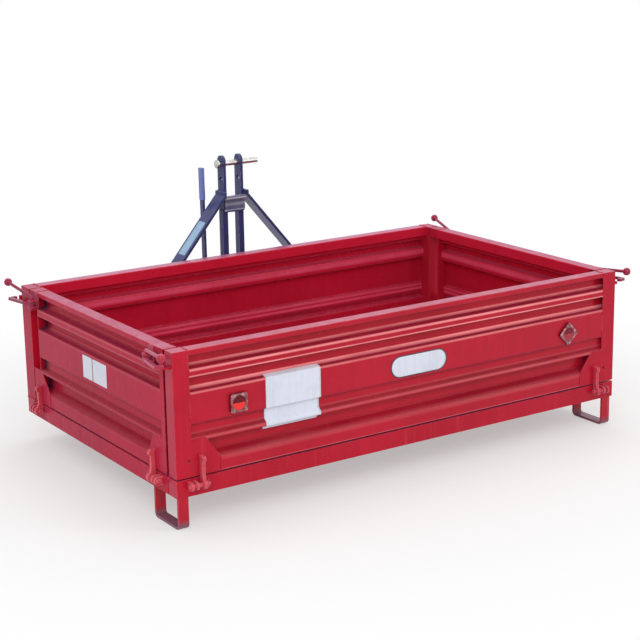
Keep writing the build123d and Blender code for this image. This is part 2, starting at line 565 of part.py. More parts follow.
def mast():
    """Mast posts, ears, cross plate, braces, top-link pin and the lever's bracket."""
    ear_x, outer = EAR_GAP / 2, EAR_GAP / 2 + EAR_PLATE
    r, back = EAR_L / 2, MAST_Y - EAR_L / 2
    ear_top = PIN_Z + EAR_TOP
    ear_low = ear_top - EAR_LEN
    post = tube(ear_x - POST_LAP, ear_x - POST_LAP + MAST_POST_X, MAST_Y - MAST_POST_Y / 2,
                MAST_Y + MAST_POST_Y / 2, CROSSBAR_Z + CROSSBAR, ear_low, "Z")
    save("mast_posts", both(post))
    face = Pos(MAST_Y, (ear_low + ear_top - r) / 2) * Rectangle(EAR_L, EAR_LEN - r)
    face += Pos(MAST_Y, ear_top - r) * Circle(r)
    for z in (PIN_Z, PIN_Z - SECOND_HOLE):
        face -= Pos(MAST_Y, z) * Circle(TOP_PIN_R + TOP_PLAY)
    save("mast_ears", both(plate_yz(face, ear_x, outer)))
    bend = PIN_Z - BRACE_BEND
    y0 = MAST_Y + BRACE_FRONT - BRACE_W
    plate = block(-outer, outer, back - CROSS_PLATE_T, back, bend - CROSS_PLATE_T - CROSS_PLATE_H, bend)
    plate += block(-outer, outer, y0, back, bend - CROSS_PLATE_T, bend)
    save("mast_cross_plate", [plate])
    foot = UNDER_X - UPRIGHT_T - BRACE_T
    path = FilletPolyline((outer, bend + BRACE_TAB), (outer, bend), (foot, LINK_Z + BRACE_FOOT_UP),
                          (foot, LINK_Z - BRACE_FOOT), radius=BRACE_R)
    bar = Face(Wire(path.edges()).offset_2d(BRACE_T, kind=Kind.ARC, side=Side.LEFT, closed=True))
    brace = extrude(Plane.XZ * bar, BRACE_W)
    brace = Pos(0, y0 - brace.bounding_box().min.Y, 0) * brace
    brace -= rod((0, MAST_Y, LINK_Z), (UNDER_X, MAST_Y, LINK_Z), LINK_STUD_R)
    save("mast_brace_right", [brace])
    save("mast_brace_left", [mirrored(brace)])
    pin = rod((-TOP_PIN_LEFT, MAST_Y, PIN_Z), (TOP_PIN_RIGHT, MAST_Y, PIN_Z), TOP_PIN_R)
    pin += rod((-TOP_PIN_LEFT - PIN_HEAD_T, MAST_Y, PIN_Z), (-TOP_PIN_LEFT, MAST_Y, PIN_Z), PIN_HEAD_R)
    save("top_link_pin", [pin])
    lever_parts()


def lever_parts():
    """Release lever with claw and grip, and the bracket and pin that carry it."""
    y, z = BOX_L + LEVER_PIVOT_Y, LEVER_PIVOT_Z
    post_face = -(EAR_GAP / 2 - POST_LAP + MAST_POST_X)
    y0 = MAST_Y - MAST_POST_Y / 2
    face = Pos((y0 + y) / 2, z) * Rectangle(y - y0, 2 * BRACKET_R) + Pos(y, z) * Circle(BRACKET_R)
    plate = plate_yz(face, post_face - EAR_T, post_face)
    right, left = LEVER_X + LEVER_T / 2, LEVER_X - LEVER_T / 2
    plate += rod((post_face - EAR_T, y, z), (right + LEVER_PLAY, y, z), LEVER_BOSS_R)
    plate += rod((post_face - EAR_T, y, z), (left - 2 * LEVER_PIN_R, y, z), LEVER_PIN_R)
    plate += rod((left - LEVER_PIN_R, y, z), (left - LEVER_PLAY * 2, y, z), LEVER_PIN_R + 5)
    save("lever_bracket", [plate])
    w = LEVER_W / 2
    arm = make_face(Polyline((y - w, z), (y + w, z), (y + w + LEVER_LEAN, LEVER_TOP),
                             (y - w + LEVER_LEAN, LEVER_TOP), close=True)) + Pos(y, z) * Circle(w)
    # the claw is a ring about the pivot, so that it turns off the catch bar without lifting it
    wedge = [(2 * CLAW_R * math.cos(math.radians(a)), 2 * CLAW_R * math.sin(math.radians(a)))
             for a in (CLAW_FRONT, (CLAW_FRONT + CLAW_TIP) / 2, CLAW_TIP)]
    ring = (Circle(CLAW_R) - Circle(CLAW_R - CLAW_T)) & make_face(Polyline((0, 0), *wedge, close=True))
    web = Pos(w / 4, -(CLAW_R - CLAW_T) / 2 - 2) * Rectangle(w * 2, CLAW_R - CLAW_T + 4)
    claw = ring + (web & Circle(CLAW_R))
    hole = Circle(LEVER_PIN_R + HINGE_PLAY)
    blade = plate_yz(arm - Pos(y, z) * hole, left, right)
    hook = Pos(0, y, z) * Rot(HOOK_OPEN, 0, 0) * plate_yz(claw - hole, left, right)
    save("release_lever", [blade + hook])
    slope = LEVER_LEAN / (LEVER_TOP - z)
    base = Vector(LEVER_X, y + slope * (LEVER_TOP - GRIP_L - z), LEVER_TOP - GRIP_L)
    section = RectangleRounded(LEVER_T + 2 * GRIP_T, LEVER_W + 2 * GRIP_T, 5)
    grip = extrude(Plane(origin=base, x_dir=(1, 0, 0), z_dir=(0, slope, 1)) * section, GRIP_L + GRIP_T)
    save("lever_grip", [grip - blade])


os.makedirs("parts", exist_ok=True)
tailgate()
side_panels()
latches()
bed()
hitch()
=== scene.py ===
import json
import math

import bmesh
import bpy
import numpy as np
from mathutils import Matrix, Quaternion, Vector


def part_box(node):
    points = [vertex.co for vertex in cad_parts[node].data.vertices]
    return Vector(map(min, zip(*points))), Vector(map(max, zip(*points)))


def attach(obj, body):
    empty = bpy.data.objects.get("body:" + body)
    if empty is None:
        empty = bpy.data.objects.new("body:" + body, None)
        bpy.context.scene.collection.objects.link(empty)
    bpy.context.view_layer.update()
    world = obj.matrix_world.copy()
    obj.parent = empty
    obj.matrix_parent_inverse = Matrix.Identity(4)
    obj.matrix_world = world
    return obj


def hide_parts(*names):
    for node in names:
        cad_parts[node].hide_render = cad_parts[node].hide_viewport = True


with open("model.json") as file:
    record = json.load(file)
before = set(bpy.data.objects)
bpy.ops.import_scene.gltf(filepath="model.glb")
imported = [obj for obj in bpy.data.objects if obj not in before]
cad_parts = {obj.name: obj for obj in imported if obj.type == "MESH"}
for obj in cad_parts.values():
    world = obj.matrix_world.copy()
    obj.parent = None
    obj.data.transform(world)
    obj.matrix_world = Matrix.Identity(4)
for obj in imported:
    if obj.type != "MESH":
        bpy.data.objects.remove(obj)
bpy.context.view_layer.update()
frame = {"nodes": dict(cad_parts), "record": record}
scene = bpy.context.scene

# ---- Studio floor, daylight and camera ----
# A plain pale floor that fades to white away from the object, and an even white sky. Two large
# soft lamps hang high, behind the tailgate's left end and overhead, and a long strip light on the
# right draws one bright line on each bend of the sheets.
def nodes_of(material):
    """The node tree of a new material, emptied of all but its output."""
    material.use_nodes = True
    tree = material.node_tree
    tree.nodes.clear()
    output = tree.nodes.new("ShaderNodeOutputMaterial")
    return tree, output


def calc(tree, operation, first, second=None):
    """A Math node's result. first is a socket, and second, if given, a socket or a number."""
    node = tree.nodes.new("ShaderNodeMath"); node.operation = operation
    tree.links.new(first, node.inputs[0])
    if isinstance(second, float):
        node.inputs[1].default_value = second
    elif second is not None:
        tree.links.new(second, node.inputs[1])
    return node.outputs[0]


def between(tree, value, low, high, to_low=0.0, to_high=1.0, curve="LINEAR"):
    """value carried from the range low..high to to_low..to_high and held at its ends."""
    node = tree.nodes.new("ShaderNodeMapRange"); node.interpolation_type = curve
    for socket, number in (("From Min", low), ("From Max", high), ("To Min", to_low), ("To Max", to_high)):
        node.inputs[socket].default_value = number
    tree.links.new(value, node.inputs["Value"])
    return node.outputs[0]


def seen_directly(tree):
    """1 for camera, glossy and transmission rays, else 0: the largest of the three Light Path outputs."""
    rays = tree.nodes.new("ShaderNodeLightPath").outputs
    first_two = calc(tree, "MAXIMUM", rays["Is Camera Ray"], rays["Is Glossy Ray"])
    return calc(tree, "MAXIMUM", first_two, rays["Is Transmission Ray"])


def placed(name, data, location):
    """An object of the scene that stands at a location."""
    holder = bpy.data.objects.new(name, data)
    scene.collection.objects.link(holder)
    holder.location = location
    return holder


def turn_towards(holder, target, upright="Y"):
    """The rotation that points an object's -Z at a target, its upright axis kept up."""
    return (Vector(target) - holder.location).to_track_quat("-Z", upright)


scene.view_settings.view_transform = "Standard"
sky = bpy.data.worlds.new("even_sky")
scene.world = sky
sky.use_nodes = True
sky_light = 0.74     # what the sky gives the object, where the white that is seen is 1
background = sky.node_tree.nodes["Background"]
background.inputs["Color"].default_value = (1.0, 1.0, 1.0, 1.0)
sky_strength = between(sky.node_tree, seen_directly(sky.node_tree), 0.0, 1.0, sky_light, 1.0)
sky.node_tree.links.new(sky_strength, background.inputs["Strength"])

reach = 40.0
floor_mesh = bpy.data.meshes.new("studio_floor")
floor_corners = [(-reach, -reach, 0), (reach, -reach, 0), (reach, reach, 0), (-reach, reach, 0)]
floor_mesh.from_pydata(floor_corners, [], [(0, 1, 2, 3)])
studio_floor = placed("studio_floor", floor_mesh, (0.0, 0.0, 0.0))
pale = bpy.data.materials.new("pale_floor")
tree, output = nodes_of(pale)
matt = tree.nodes.new("ShaderNodeBsdfDiffuse")
matt.inputs["Color"].default_value = (0.82, 0.82, 0.82, 1.0)
distance = tree.nodes.new("ShaderNodeVectorMath"); distance.operation = "LENGTH"
tree.links.new(tree.nodes.new("ShaderNodeTexCoord").outputs["Object"], distance.inputs[0])
near, far, near_glow = 0.8, 2.0, 0.42     # where the floor starts and ends its fade to white
fade = between(tree, distance.outputs["Value"], near, far, near_glow, 1.0, "SMOOTHSTEP")
mix = tree.nodes.new("ShaderNodeMixShader")
tree.links.new(calc(tree, "MULTIPLY", fade, seen_directly(tree)), mix.inputs[0])
tree.links.new(matt.outputs[0], mix.inputs[1])
tree.links.new(tree.nodes.new("ShaderNodeEmission").outputs[0], mix.inputs[2])
tree.links.new(mix.outputs[0], output.inputs["Surface"])
floor_mesh.materials.append(pale)

rear_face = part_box("bed_rail_rear")[0].y     # the tailgate's outer face
for name, place, size, power in (("rear_left_lamp", (-3.1, -4.2, 3.3), 2.4, 96.0),
                                 ("overhead_lamp", (0.6, 0.8, 5.2), 3.0, 58.0)):
    lamp = bpy.data.lights.new(name, "AREA")
    lamp.size, lamp.energy = size, power
    holder = placed(name, lamp, place)
    holder.rotation_euler = turn_towards(holder, (0.0, 0.0, 0.3)).to_euler()

strip = bpy.data.lights.new("right_strip", "AREA")
strip.shape, strip.size, strip.size_y, strip.energy = "RECTANGLE", 3.6, 0.3, 24.0
holder = placed("right_strip", strip, (2.2, rear_face - 2.6, 2.7))
holder.rotation_euler = turn_towards(holder, (0.0, rear_face, 0.4), "X").to_euler()

lens = bpy.data.cameras.new("view_from_rear_left")
lens.lens, lens.sensor_width = 92.5, 36.0
eye = placed("view_from_rear_left", lens, (-2.785, rear_face - 3.727, 1.688))
scene.camera = eye
roll = Quaternion((0, 0, 1), math.radians(-0.94))
eye.rotation_euler = (turn_towards(eye, (0.025, rear_face + 0.532, 0.359)) @ roll).to_euler()

# ---- Sprayed paint on the tipping box ----
# The box is pressed sheet and welded tube under a glossy red enamel. The enamel has a fine
# orange-peel skin, the sheet under it is not quite flat, dust and a painted sheen lie on what faces
# up, and the sharp edges are rubbed thin. Painted highlights run along the folds, painted shade
# darkens the grooves' upward walls and ends, and the inner faces are painted lighter.
def noise(tree, place, scale, detail=3.0, rough=0.5, stretch=None, turn=0.0):
    """Noise texture on Object coordinates, turned about Z and then multiplied by stretch."""
    if stretch:
        mapping = tree.nodes.new("ShaderNodeMapping"); mapping.vector_type = "TEXTURE"
        mapping.inputs["Rotation"].default_value = (0.0, 0.0, turn)
        mapping.inputs["Scale"].default_value = [1.0 / part for part in stretch]
        tree.links.new(place, mapping.inputs["Vector"])
        place = mapping.outputs["Vector"]
    texture = tree.nodes.new("ShaderNodeTexNoise")
    texture.inputs["Scale"].default_value = scale
    texture.inputs["Detail"].default_value = detail
    texture.inputs["Roughness"].default_value = rough
    tree.links.new(place, texture.inputs["Vector"])
    return texture.outputs["Fac"]


def times(tree, first, second):
    """first times second, where second is a socket or a number."""
    return calc(tree, "MULTIPLY", first, second)


def tinted(tree, share, under, over):
    """under with over laid on it by share. Each is a colour or a socket."""
    node = tree.nodes.new("ShaderNodeMix"); node.data_type = "RGBA"
    tree.links.new(share, node.inputs[0])
    for socket, colour in ((node.inputs[6], under), (node.inputs[7], over)):
        if isinstance(colour, tuple):
            socket.default_value = (*colour, 1.0)
        else:
            tree.links.new(colour, socket)
    return node.outputs[2]


def axes_of(tree, vector):
    """The X, Y and Z of a vector."""
    split = tree.nodes.new("ShaderNodeSeparateXYZ")
    tree.links.new(vector, split.inputs[0])
    return split.outputs


def facing(tree):
    """The X, Y and Z of the surface's normal."""
    return axes_of(tree, tree.nodes.new("ShaderNodeNewGeometry").outputs["Normal"])


def dust_and_sheen_mask(tree, place):
    """Where dust and a painted sheen lie: the normal's Z, and a seventh of it below the panels' top
    rails, so that the ledges there stay darker, as in shade.
    """
    up = between(tree, facing(tree)["Z"], 0.55, 0.95)
    level, below_rail, on_rail, below_rail_share = axes_of(tree, place)["Z"], 0.490, 0.505, 0.14
    return times(tree, up, between(tree, level, below_rail, on_rail, below_rail_share, 1.0))


def rubbed_edges(tree, place, reach=0.0016, grain=60.0):
    """Mask of worn edges: where the bevelled normal leaves the true one, broken up by noise."""
    geometry = tree.nodes.new("ShaderNodeNewGeometry")
    bevel = tree.nodes.new("ShaderNodeBevel"); bevel.samples = 6
    bevel.inputs["Radius"].default_value = reach
    dot = tree.nodes.new("ShaderNodeVectorMath"); dot.operation = "DOT_PRODUCT"
    tree.links.new(geometry.outputs["Normal"], dot.inputs[0])
    tree.links.new(bevel.outputs[0], dot.inputs[1])
    edge = between(tree, dot.outputs["Value"], 0.985, 0.88)
    return times(tree, edge, between(tree, noise(tree, place, grain, 4.0, 0.6), 0.42, 0.62))


def bumped(tree, heights):
    """Normal from a chain of Bump nodes; each entry is (height socket, distance in metres)."""
    normal = None
    for height, distance in heights:
        bump = tree.nodes.new("ShaderNodeBump")
        bump.inputs["Strength"].default_value = 1.0
        bump.inputs["Distance"].default_value = distance
        tree.links.new(height, bump.inputs["Height"])
        if normal:
            tree.links.new(normal, bump.inputs["Normal"])
        normal = bump.outputs[0]
    return normal


def new_shader(name):
    """A new material, its tree, its Object coordinates and its Principled shader on the output."""
    material = bpy.data.materials.new(name)
    tree, output = nodes_of(material)
    place = tree.nodes.new("ShaderNodeTexCoord").outputs["Object"]
    shader = tree.nodes.new("ShaderNodeBsdfPrincipled")
    tree.links.new(shader.outputs[0], output.inputs["Surface"])
    return material, tree, place, shader


def surfaced(tree, shader, base, roughness, heights):
    """Link a shader's colour and roughness, and its normal from (height socket, distance) bumps."""
    tree.links.new(base, shader.inputs["Base Color"])
    tree.links.new(roughness, shader.inputs["Roughness"])
    tree.links.new(bumped(tree, heights), shader.inputs["Normal"])


def lined(tree, place, base, lines):
    """base with level lines on it, each (height, half its width, share, ink, face).

    A line's share falls off as 1 - (z - height)^2 / width^2 and is drawn uneven by noise. Where face
    isn't None, the line is kept to the side of the sheet for which that mask is 1."""
    level = axes_of(tree, place)["Z"]
    drawn = between(tree, noise(tree, place, 5.0, 4.0, 0.6, (1.0, 1.0, 0.1)), 0.3, 0.6, 0.6, 1.0)
    for height, width, share, ink, face in lines:
        away = calc(tree, "SUBTRACT", level, height)
        line = times(tree, between(tree, times(tree, away, away), 0.0, width * width, share, 0.0), drawn)
        base = tinted(tree, times(tree, line, face) if face else line, base, ink)
    return base


def shadowed_at_end(tree, place, base, end):
    """base with a painted shadow at a groove's end, below the rail and on the outer face.

    An end is (length axis, start, full, depth axis, start, full). The share is the product of both
    ramps, and X counts by its size, so that it serves the left and the right."""
    spots, normal, across = axes_of(tree, place), facing(tree), end[3]
    on_rail, below_rail, end_shadow = 0.503, 0.497, (0.030, 0.0015, 0.0040)
    share = times(tree, between(tree, spots["Z"], on_rail, below_rail, 0.0, 0.95),
                  between(tree, times(tree, normal[across], spots[across]), -0.02, 0.05))
    for axis, start, full in (end[:3], end[3:]):
        size = calc(tree, "ABSOLUTE", spots[axis]) if axis == "X" else spots[axis]
        share = times(tree, share, between(tree, size, start, full))
    return tinted(tree, share, base, end_shadow)


def enamel(name, colour, shade, dust_and_sheen_colour, worn, gloss, dust_and_sheen=0.35, wave=0.0010, edge=0.55, scratched=0.0,
           shine=0.24, bends=(), hollows=(), lit=(0.98, 0.33, 0.34), ribs=(), ends=(), across=None):
    """Sprayed enamel: colour clouded with shade, dust and a painted sheen on top faces, worn edges, orange
    peel.

    Each bend is (height, half its width, share): along it the colour turns towards lit, a painted
    highlight along a fold (on the legs, a darkening towards the feet). Each hollow, in the same form,
    is darkened with painted shade, and ends are darkened with painted shadow. With an axis across the
    sheet, bends and hollows keep to its outer face and ribs, each a bend with a colour of its own, a
    painted lightening or a painted highlight, to its inner face. Scratches run three ways."""
    material, tree, place, shader = new_shader(name)
    clouds = between(tree, noise(tree, place, 3.5, 5.0, 0.6), 0.35, 0.65)
    streaks = between(tree, noise(tree, place, 9.0, 4.0, 0.6, (4.0, 4.0, 0.35)), 0.45, 0.75, 0.0, 0.55)
    base = tinted(tree, clouds, colour, shade)
    base = tinted(tree, times(tree, streaks, 0.35), base, tuple(0.6 * part for part in shade))
    dust_and_sheen_patches = between(tree, noise(tree, place, 22.0, 6.0, 0.65), 0.38, 0.62, 0.35, 1.0)
    dust_and_sheen_share = times(tree, times(tree, dust_and_sheen_mask(tree, place), dust_and_sheen_patches), dust_and_sheen)
    base = tinted(tree, dust_and_sheen_share, base, dust_and_sheen_colour)
    base = tinted(tree, times(tree, rubbed_edges(tree, place), edge), base, worn)
    if scratched:
        patches = between(tree, noise(tree, place, 3.0, 4.0, 0.6), 0.42, 0.60, 0.15, 1.0)
        for turn, stretch in ((0.30, (70.0, 2.5, 1.0)), (-0.55, (2.0, 90.0, 1.0)), (1.10, (110.0, 4.0, 1.0))):
            grain = noise(tree, place, 1.7, 2.0, 0.5, stretch, turn)
            lines = between(tree, grain, 0.64, 0.70, 0.0, scratched)
            base = tinted(tree, times(tree, lines, patches), base, worn)
    outer = inner = None
    if across:
        outwards = times(tree, facing(tree)[across], axes_of(tree, place)[across])
        outer, inner = between(tree, outwards, -0.02, 0.05), between(tree, outwards, -0.01, -0.06)
    # the colour of the painted shade on the walls in the hollows
    darkening = (0.23, 0.0022, 0.0080)
    base = lined(tree, place, base, [(*line, darkening, outer) for line in hollows]
                 + [(*line, lit, outer) for line in bends] + [(*line, inner) for line in ribs])
    for end in ends:
        base = shadowed_at_end(tree, place, base, end)
    grease = between(tree, noise(tree, place, 6.0, 4.0, 0.6), 0.3, 0.7, gloss, gloss + 0.12)
    dusty_roughness = (0.6, 0.6, 0.6)
    sheet = noise(tree, place, 4.5, 2.0, 0.4)
    dents, dent_depth = between(tree, noise(tree, place, 11.0, 2.0, 0.4), 0.60, 0.72), -0.0009
    peel, peel_height = noise(tree, place, 420.0, 2.0, 0.5), 0.00006
    surfaced(tree, shader, base, tinted(tree, dust_and_sheen_share, grease, dusty_roughness),
             [(sheet, wave), (dents, dent_depth), (peel, peel_height)])
    shader.inputs["Specular IOR Level"].default_value = shine
    shader.inputs["Sheen Weight"].default_value = 0.20
    shader.inputs["Sheen Roughness"].default_value = 0.45
    shader.inputs["Sheen Tint"].default_value = (0.50, 0.42, 1.0, 1.0)
    return material


def finish_nodes(material, *names):
    """Give the named CAD nodes this material in every slot."""
    for name in names:
        node = frame["nodes"][name]
        if not node.material_slots:
            node.data.materials.append(material)
        for holder in node.material_slots:
            holder.material = material


def nodes_in(slot):
    """The names of the CAD nodes whose material slot is the named one."""
    return [part["node"] for part in frame["record"]["subparts"] if part["material_slot"] == slot]


red_coat = dict(colour=(0.480, 0.0060, 0.0230), shade=(0.410, 0.0040, 0.0170), dust_and_sheen_colour=(0.64, 0.30, 0.38),
                worn=(0.72, 0.20, 0.20), gloss=0.20)
red_enamel = enamel("red_enamel", **red_coat, dust_and_sheen=0.30, scratched=0.10, shine=0.16)
finish_nodes(red_enamel, *nodes_in("red_paint"))
dull_enamel = enamel("dull_enamel", **red_coat, dust_and_sheen=0.30, scratched=0.10, shine=0.06)
finish_nodes(dull_enamel, "front_posts", "side_left_ends", "side_right_ends", "bed_rails_side")
scuffed_coat = red_coat | dict(colour=(0.580, 0.0150, 0.0460), shade=(0.500, 0.0100, 0.0340))
bed_enamel = enamel("bed_enamel", **scuffed_coat, dust_and_sheen=0.14, wave=0.0018, scratched=0.55)
finish_nodes(bed_enamel, "bed_floor")
# the legs turn darker towards their feet
darker_feet = ((0.0, 0.030, 0.75), (0.008, 0.012, 0.5))
leg_enamel = enamel("leg_enamel", **red_coat, dust_and_sheen=0.12, scratched=0.4, bends=darker_feet,
                    lit=(0.16, 0.10, 0.12))
finish_nodes(leg_enamel, "rear_legs")
# painted highlights along the folds of the pressed sheets: each groove's lower lip, the foot of its
# lower wall, and the upper lip of the second groove
fold_highlights = ((0.4505, 0.0045, 0.80), (0.4632, 0.0040, 0.60), (0.4325, 0.0038, 0.85), (0.3860, 0.0042, 0.50),
         (0.3970, 0.0044, 0.95), (0.2548, 0.0050, 0.22), (0.2700, 0.0040, 0.10), (0.1890, 0.0110, 0.12),
         (0.1512, 0.0030, 0.35), (0.5195, 0.0030, 0.50))
# the walls that face up lie in their groove's shade, painted on them as a darker colour
shaded_walls = ((0.4575, 0.0065, 0.95), (0.3920, 0.0060, 0.90), (0.4275, 0.0050, 0.45), (0.2950, 0.0110, 0.40),
          (0.2630, 0.0100, 0.80), (0.2010, 0.0150, 0.75), (0.2350, 0.0140, 0.25))
half_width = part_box("bed_rail_rear")[1].x
gate_end, side_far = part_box("tailgate_sheet")[1].x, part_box("side_left_sheet")[1].y
# where painted shadow darkens the grooves' ends on the tailgate and on the sides
gate_end_shadow = ("X", gate_end - 0.038, gate_end - 0.012, "Y", rear_face + 0.003, rear_face + 0.010)
side_end_shadow = ("Y", side_far - 0.050, side_far - 0.015, "X", half_width - 0.003, half_width - 0.010)
gate_enamel = enamel("gate_enamel", **red_coat, dust_and_sheen=0.45, shine=0.19, bends=fold_highlights, hollows=shaded_walls,
                     across="Y", ends=[gate_end_shadow])
finish_nodes(gate_enamel, "tailgate_sheet")
# inside the box the upper faces get a painted lightening, and the ribs painted highlights on their faces
inner_light, rib_highlight = (0.640, 0.0120, 0.0400), (1.00, 0.18, 0.34)
ribs = ((0.5100, 0.110, 0.60, inner_light), (0.4160, 0.0120, 0.42, rib_highlight),
        (0.2910, 0.0055, 0.40, rib_highlight), (0.2780, 0.0060, 0.48, rib_highlight))
side_enamel = enamel("side_enamel", **(red_coat | dict(dust_and_sheen_colour=(0.60, 0.35, 0.46))), dust_and_sheen=0.40, shine=0.06,
                     bends=[(height, width, 0.25 * share) for height, width, share in fold_highlights],
                     hollows=[(height, width, 0.9 * share) for height, width, share in shaded_walls],
                     ribs=ribs, across="X", ends=[side_end_shadow])
finish_nodes(side_enamel, "side_left_sheet", "side_right_sheet")
front_coat = red_coat | dict(colour=(0.490, 0.0085, 0.0330), shade=(0.420, 0.0060, 0.0250),
                             dust_and_sheen_colour=(0.60, 0.35, 0.54))
front_enamel = enamel("front_enamel", **front_coat, dust_and_sheen=0.42, ribs=ribs, across="Y")
finish_nodes(front_enamel, "front_panel")

# ---- Hitch frame paint ----
# Frame, mast and lever are heavy flat bar and tube in a dark slate blue that is rubbed to a pale
# grey along the edges, a pale grey that is partly a painted highlight. On the folded cross plate the
# pale grey clouding and the pale lines along each bend are painted highlights.
slate_enamel = enamel("slate_enamel", colour=(0.035, 0.044, 0.158), shade=(0.023, 0.029, 0.108),
                      dust_and_sheen_colour=(0.20, 0.22, 0.33), worn=(0.46, 0.50, 0.66), gloss=0.26, dust_and_sheen=0.45, edge=0.85)
rubbed_highlit_slate = enamel("rubbed_slate_enamel", colour=(0.046, 0.050, 0.130), shade=(0.30, 0.31, 0.38),
                      dust_and_sheen_colour=(0.40, 0.42, 0.50), worn=(0.62, 0.64, 0.74), gloss=0.20, dust_and_sheen=0.5, edge=1.0,
                      bends=((0.6495, 0.005, 0.9), (0.6920, 0.006, 0.9), (0.6720, 0.007, 0.35)),
                      lit=(0.60, 0.62, 0.74))
finish_nodes(slate_enamel, *nodes_in("slate_blue_paint"))
finish_nodes(rubbed_highlit_slate, "mast_cross_plate")

# ---- Pins and shaft ----
# Turned steel, zinc plated: the two lower link pins, the top link pin and the tipping shaft.
# Fine rings from turning run round them, and the zinc is a little clouded.
zinc, tree, place, shader = new_shader("plated_steel")
shader.inputs["Metallic"].default_value = 1.0
cloud = between(tree, noise(tree, place, 45.0, 5.0, 0.65), 0.35, 0.65)
turning = noise(tree, place, 900.0, 2.0, 0.5, (1.0, 0.02, 0.02))
surfaced(tree, shader, tinted(tree, cloud, (0.66, 0.65, 0.62), (0.46, 0.45, 0.43)),
         between(tree, noise(tree, place, 80.0, 3.0), 0.3, 0.7, 0.24, 0.42), [(turning, 0.00008)])
finish_nodes(zinc, "lower_link_pins", "top_link_pin", "tipping_shaft")

# ---- Weld beads on the box frame ----
# Every joint of bar and sheet is a hand-laid bead, painted over with the rest: overlapping
# crescents about five millimetres apart, a little uneven in width. They ride on the box.
def surface(points, round_u=False, round_v=False):
    """Vertices and quads of a grid of points [u, v], joined round in u or v where it is closed."""
    rows, columns = points.shape[:2]
    index = np.arange(rows * columns).reshape(rows, columns)
    if round_u:
        index = np.vstack([index, index[:1]])
    if round_v:
        index = np.hstack([index, index[:, :1]])
    quads = np.stack([index[:-1, :-1], index[1:, :-1], index[1:, 1:], index[:-1, 1:]], axis=-1)
    return points.reshape(-1, 3), quads.reshape(-1, 4)


def joined(shapes):
    """One set of vertices and quads from several."""
    vertices, quads, start = [], [], 0
    for points, faces in shapes:
        vertices.append(points)
        quads.append(faces + start)
        start += len(points)
    return np.vstack(vertices), np.vstack(quads)


def mirrored(shape):
    """The same shape on the other side: x becomes -x and each quad turns round."""
    return shape[0] * (-1, 1, 1), shape[1][:, ::-1]


def both_sides(shapes):
    """The shapes and their mirror images."""
    return list(shapes) + [mirrored(shape) for shape in shapes]


def piece(name, shapes, material, body, smooth=True):
    """A mesh object from shapes, its doubled points merged and its faces turned outwards."""
    vertices, quads = joined(shapes)
    mesh = bpy.data.meshes.new(name)
    mesh.from_pydata(vertices.tolist(), [], quads.tolist())
    work = bmesh.new()
    work.from_mesh(mesh)
    doubled = 2e-6
    bmesh.ops.remove_doubles(work, verts=work.verts, dist=doubled)
    bmesh.ops.recalc_face_normals(work, faces=work.faces)
    work.to_mesh(mesh)
    work.free()
    mesh.polygons.foreach_set("use_smooth", [smooth] * len(mesh.polygons))
    mesh.materials.append(material)
    made = bpy.data.objects.new(name, mesh)
    scene.collection.objects.link(made)
    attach(made, body)
    return made


def swept(path, radii, around=8):
    """Rings along a path, each square to it, of the given radii.

    A ring's two directions are the cross products of the path's direction with a fixed axis."""
    path = np.asarray(path, float)
    along = np.gradient(path, axis=0)
    along /= np.linalg.norm(along, axis=1, keepdims=True)
    fixed = np.eye(3)[int(np.argmin(np.abs(along).mean(axis=0)))]
    side = np.cross(along, fixed)
    side /= np.linalg.norm(side, axis=1, keepdims=True)
    up = np.cross(side, along)
    angle = np.linspace(0, 2 * np.pi, around, endpoint=False)
    ring = np.cos(angle)[None, :, None] * side[:, None] + np.sin(angle)[None, :, None] * up[:, None]
    return path[:, None] + np.asarray(radii, float)[:, None, None] * ring


bead_hand = np.random.default_rng(7)
bead_pitch, ring_spacing = 0.005, 0.0014
wander_knots, wander_size, shake = 6, 0.08, 0.00012


def bead(start, end, radius=0.0028):
    """A straight weld bead from start to end.

    At distance s its radius is radius times 0.9 + 0.2 |sin(pi s / pitch)| plus a slow wander, and
    both ends close along a quarter circle."""
    start, end = np.asarray(start, float), np.asarray(end, float)
    length = np.linalg.norm(end - start)
    steps = max(int(length / ring_spacing), 9)
    s = np.linspace(0, length, steps)
    knots = np.linspace(0, length, wander_knots)
    wander = np.interp(s, knots, bead_hand.normal(0, wander_size, wander_knots))
    shape = 0.9 + 0.2 * np.abs(np.sin(np.pi * s / bead_pitch)) + wander
    ends = np.clip(np.minimum(s, length - s) / radius, 0, 1)
    radii = radius * shape * np.sqrt(1 - (1 - ends) ** 2)
    path = start + (end - start) * (s / length)[:, None] + bead_hand.normal(0, shake, (steps, 3))
    return surface(swept(path, radii), round_v=True)


def along_y(y):
    """A distance in front of the tailgate's outer face, in the frame."""
    return rear_face + y


def round_bar_end(x0, x1, y0, y1, z, radius):
    """Four beads round the foot of a bar or tube that stands on the level z."""
    corners = [(x, along_y(y), z) for x, y in ((x0, y0), (x1, y0), (x1, y1), (x0, y1))]
    return [bead(corners[i], corners[i - 3], radius) for i in range(4)]


def upright(x, y, low, high, radius=0.0026):
    """An upright bead at x, on the level y in front of the tailgate."""
    return bead((x, along_y(y), low), (x, along_y(y), high), radius)


def forward(x, y0, y1, z, radius=0.0022):
    """A level bead that runs forward, on the levels x and z."""
    return bead((x, along_y(y0), z), (x, along_y(y1), z), radius)


def sideways(x0, x1, y, z, radius=0.0024):
    """A level bead that runs across the box, on the levels y and z."""
    return bead((x0, along_y(y), z), (x1, along_y(y), z), radius)


